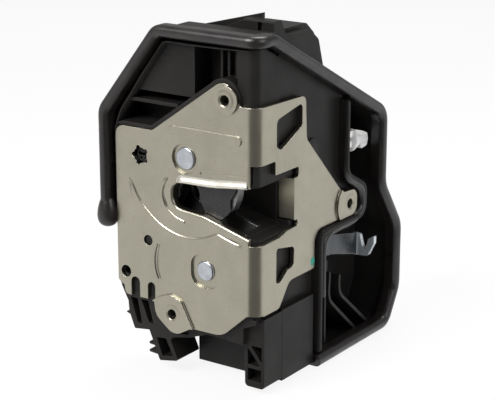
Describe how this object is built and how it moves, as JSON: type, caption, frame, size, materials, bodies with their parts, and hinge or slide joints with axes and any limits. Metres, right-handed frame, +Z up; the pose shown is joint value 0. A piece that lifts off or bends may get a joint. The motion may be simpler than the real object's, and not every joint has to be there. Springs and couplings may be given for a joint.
{
  "type": "door latch actuator",
  "caption": "Car door latch with an L-shaped lock plate, a claw and pawl catch, a plastic actuator housing with release levers and a seal round its rim.",
  "frame": {"origin": "centre of the upper rear screw hole, on the seat that meets the door shell", "axes": "+X out of the side plate towards the cabin, -Y out of the rear plate towards the rear of the car, +Z up"},
  "size_m": [0.0975, 0.1359, 0.1796],
  "materials": {
    "plate_steel": "satin zinc nickel plating",
    "housing_black": "matt moulded",
    "tub_black": "matt moulded",
    "cover_black": "matt moulded",
    "seal_rubber": "satin",
    "buffer_rubber": "matt",
    "inner_steel": "plain",
    "coat_plastic": "satin",
    "pin_zinc": "bright zinc",
    "spring_steel": "plain",
    "cam_grey": "matt",
    "lever_zinc": "zinc plated",
    "white_nylon": "satin",
    "motor_can": "plain",
    "brass": "turned",
    "switch_black": "matt",
    "screw_steel": "zinc plated"
  },
  "bodies": {
    "frame": {"lock_plate": "plate_steel", "latch_housing": "housing_black", "actuator_housing": "tub_black", "rear_cover": "cover_black", "seal": "seal_rubber", "striker_buffer": "buffer_rubber", "back_plate": "inner_steel", "claw_pin": "pin_zinc", "pawl_pin": "pin_zinc", "claw_spring": "spring_steel", "pawl_spring": "spring_steel", "inner_lever_pin": "pin_zinc", "knob_lever_pin": "pin_zinc", "outer_lever_pin": "pin_zinc", "motor": "motor_can", "wheel_axle": "inner_steel", "lock_lever_pin": "inner_steel", "lock_microswitch": "switch_black", "contact_grid": "brass", "connector_shell": "housing_black", "connector_blades": "brass", "cover_screws": "screw_steel"},
    "claw": {"claw_core": "inner_steel", "claw_coat": "coat_plastic"},
    "pawl": {"pawl": "inner_steel", "pawl_damper": "buffer_rubber"},
    "key": {"key_cam": "cam_grey", "key_crank": "cam_grey"},
    "inner_lever": {"inner_release_lever": "lever_zinc"},
    "knob_lever": {"lock_knob_lever": "white_nylon"},
    "outer_lever": {"outer_release_lever": "lever_zinc"},
    "worm": {"worm": "brass"},
    "wheel": {"worm_wheel": "white_nylon"},
    "lock_lever": {"lock_lever": "white_nylon"}
  },
  "joints": [
    {"name": "claw_turn", "type": "hinge", "parent": "frame", "child": "claw", "pos_m": [-0.0238, 0.0094, -0.0314], "axis": [0, 1, 0], "range_deg": [-56, 0]},
    {"name": "pawl_turn", "type": "hinge", "parent": "frame", "child": "pawl", "pos_m": [-0.0127, 0.0094, -0.085], "axis": [0, 1, 0], "range_deg": [0, 8]},
    {"name": "key_turn", "type": "hinge", "parent": "frame", "child": "key", "pos_m": [-0.0503, 0.015, -0.0336], "axis": [0, 1, 0], "range_deg": [-45, 45]},
    {"name": "inner_lever_turn", "type": "hinge", "parent": "frame", "child": "inner_lever", "pos_m": [0.00875, 0.063, -0.085], "axis": [-1, 0, 0], "range_deg": [0, 16]},
    {"name": "outer_lever_turn", "type": "hinge", "parent": "frame", "child": "outer_lever", "pos_m": [-0.0353, 0.046, -0.112], "axis": [-1, 0, 0], "range_deg": [0, 25]},
    {"name": "wheel_turn", "type": "hinge", "parent": "frame", "child": "wheel", "pos_m": [-0.012, 0.0598, -0.056], "axis": [1, 0, 0], "range_deg": [0, 120]},
    {"name": "worm_spin", "type": "hinge", "parent": "frame", "child": "worm", "pos_m": [-0.012, 0.0425, -0.056], "axis": [0, 0, 1], "range_deg": [0, 3360]},
    {"name": "lock_lever_turn", "type": "hinge", "parent": "frame", "child": "lock_lever", "pos_m": [-0.007, 0.0598, -0.028], "axis": [1, 0, 0], "range_deg": [-30, 0]},
    {"name": "knob_lever_turn", "type": "hinge", "parent": "frame", "child": "knob_lever", "pos_m": [0.0107, 0.0852, -0.036], "axis": [-1, 0, 0], "range_deg": [0, 30]}
  ],
  "couplings": [
    {"joint": "worm_spin", "follows": "wheel_turn", "ratio": 28},
    {"joint": "lock_lever_turn", "follows": "wheel_turn", "ratio": -0.25},
    {"joint": "knob_lever_turn", "follows": "wheel_turn", "ratio": 0.25}
  ]
}
